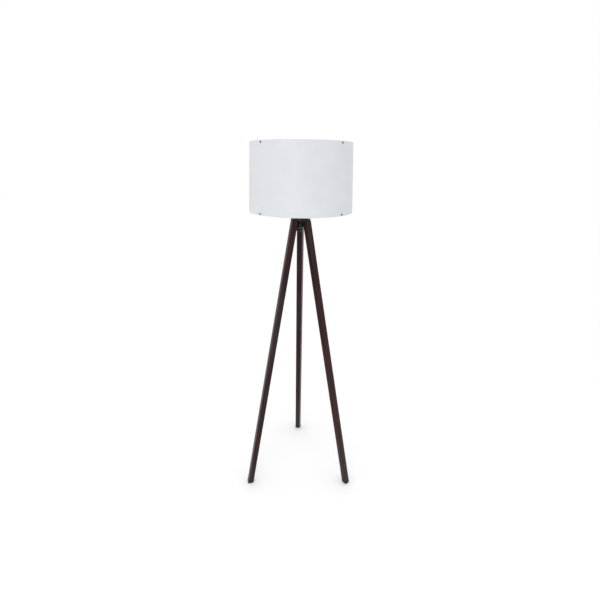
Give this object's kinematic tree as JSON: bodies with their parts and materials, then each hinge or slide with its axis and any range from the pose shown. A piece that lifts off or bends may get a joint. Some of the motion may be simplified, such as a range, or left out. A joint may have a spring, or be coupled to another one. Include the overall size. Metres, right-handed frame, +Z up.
{
  "type": "tripod floor lamp",
  "caption": "Tripod floor lamp: square dark wooden legs screwed into a black turned hub, flared white sheet drum shade on spiders over a screw-base bulb.",
  "frame": {"origin": "middle of the footprint box, on the floor under the feet; the lamp's own vertical axis stands 36.4 mm in front of it", "axes": "+Z up, +Y to the back leg, +X to the right leg's side, seen from the front"},
  "size_m": [0.4692, 0.463, 1.45],
  "materials": {
    "leg_wood": "dark walnut stain under satin lacquer, straight grain along the leg",
    "hub_black": "turned wood, satin black paint",
    "foot_rubber": "matt black rubber",
    "black_plastic": "moulded black thermoset, fine satin",
    "steel": "zinc plated",
    "brass": "bright brass",
    "porcelain": "glazed porcelain",
    "shade_sheet": "rolled white translucent PVC sheet, satin",
    "spider_white": "plywood, matt white paint",
    "black_steel": "black oxide steel",
    "opal_glass": "opal white, etched"
  },
  "bodies": {
    "frame": {"hub": "hub_black", "cord_inlet": "black_plastic", "lampholder_cap": "black_plastic", "lampholder_shell": "black_plastic", "leg_insert_back": "steel", "leg_insert_left": "steel", "leg_insert_right": "steel", "terminal_screw_live": "brass", "terminal_screw_neutral": "brass", "lampholder_sleeve": "brass", "centre_contact": "brass", "lampholder_core": "porcelain", "shade_sheet": "shade_sheet", "lower_spider": "spider_white", "upper_spider": "spider_white", "nipple": "black_steel", "nipple_washer": "black_steel", "nipple_lower_nut": "black_steel", "nipple_upper_nut": "black_steel", "shade_screw_top_front_left": "black_steel", "shade_screw_top_front_right": "black_steel", "shade_screw_top_back_left": "black_steel", "shade_screw_top_back_right": "black_steel", "shade_screw_bottom_front_left": "black_steel", "shade_screw_bottom_front_right": "black_steel", "shade_screw_bottom_back_left": "black_steel", "shade_screw_bottom_back_right": "black_steel"},
    "leg_bolt_back": {"leg_bolt_back": "steel"},
    "leg_back": {"leg_back": "leg_wood", "foot_pad_back": "foot_rubber"},
    "leg_bolt_left": {"leg_bolt_left": "steel"},
    "leg_left": {"leg_left": "leg_wood", "foot_pad_left": "foot_rubber"},
    "leg_bolt_right": {"leg_bolt_right": "steel"},
    "leg_right": {"leg_right": "leg_wood", "foot_pad_right": "foot_rubber"},
    "shade_ring": {"shade_ring": "black_plastic"},
    "bulb_base": {"bulb_base": "steel", "bulb_tip": "steel", "bulb_insulator": "black_plastic"},
    "bulb": {"bulb_glass": "opal_glass"}
  },
  "joints": [
    {"name": "leg_back_travel", "type": "slide", "parent": "frame", "child": "leg_bolt_back", "axis": [0, 0.1895, -0.9819], "range_m": [0, 0.0125]},
    {"name": "leg_back_unscrew", "type": "hinge", "parent": "leg_bolt_back", "child": "leg_back", "pos_m": [0, -0.0094, 1.17558], "axis": [0, 0.1895, -0.9819], "range_deg": [0, 3601]},
    {"name": "leg_left_travel", "type": "slide", "parent": "frame", "child": "leg_bolt_left", "axis": [-0.1641, -0.0947, -0.9819], "range_m": [0, 0.0125]},
    {"name": "leg_left_unscrew", "type": "hinge", "parent": "leg_bolt_left", "child": "leg_left", "pos_m": [-0.02338, -0.0499, 1.17558], "axis": [-0.1641, -0.0947, -0.9819], "range_deg": [0, 3601]},
    {"name": "leg_right_travel", "type": "slide", "parent": "frame", "child": "leg_bolt_right", "axis": [0.1641, -0.0947, -0.9819], "range_m": [0, 0.0125]},
    {"name": "leg_right_unscrew", "type": "hinge", "parent": "leg_bolt_right", "child": "leg_right", "pos_m": [0.02338, -0.0499, 1.17558], "axis": [0.1641, -0.0947, -0.9819], "range_deg": [0, 3601]},
    {"name": "shade_ring_travel", "type": "slide", "parent": "frame", "child": "shade_ring", "axis": [0, 0, 1], "range_m": [0, 0.012]},
    {"name": "bulb_travel", "type": "slide", "parent": "frame", "child": "bulb_base", "axis": [0, 0, 1], "range_m": [0, 0.01815]},
    {"name": "bulb_unscrew", "type": "hinge", "parent": "bulb_base", "child": "bulb", "pos_m": [0, -0.0364, 1.2187], "axis": [0, 0, 1], "range_deg": [0, 1801]}
  ],
  "couplings": [
    {"joint": "leg_back_unscrew", "follows": "leg_back_travel", "rad_per_m": 5026.5},
    {"joint": "leg_left_unscrew", "follows": "leg_left_travel", "rad_per_m": 5026.5},
    {"joint": "leg_right_unscrew", "follows": "leg_right_travel", "rad_per_m": 5026.5},
    {"joint": "bulb_unscrew", "follows": "bulb_travel", "rad_per_m": 1730.9}
  ]
}
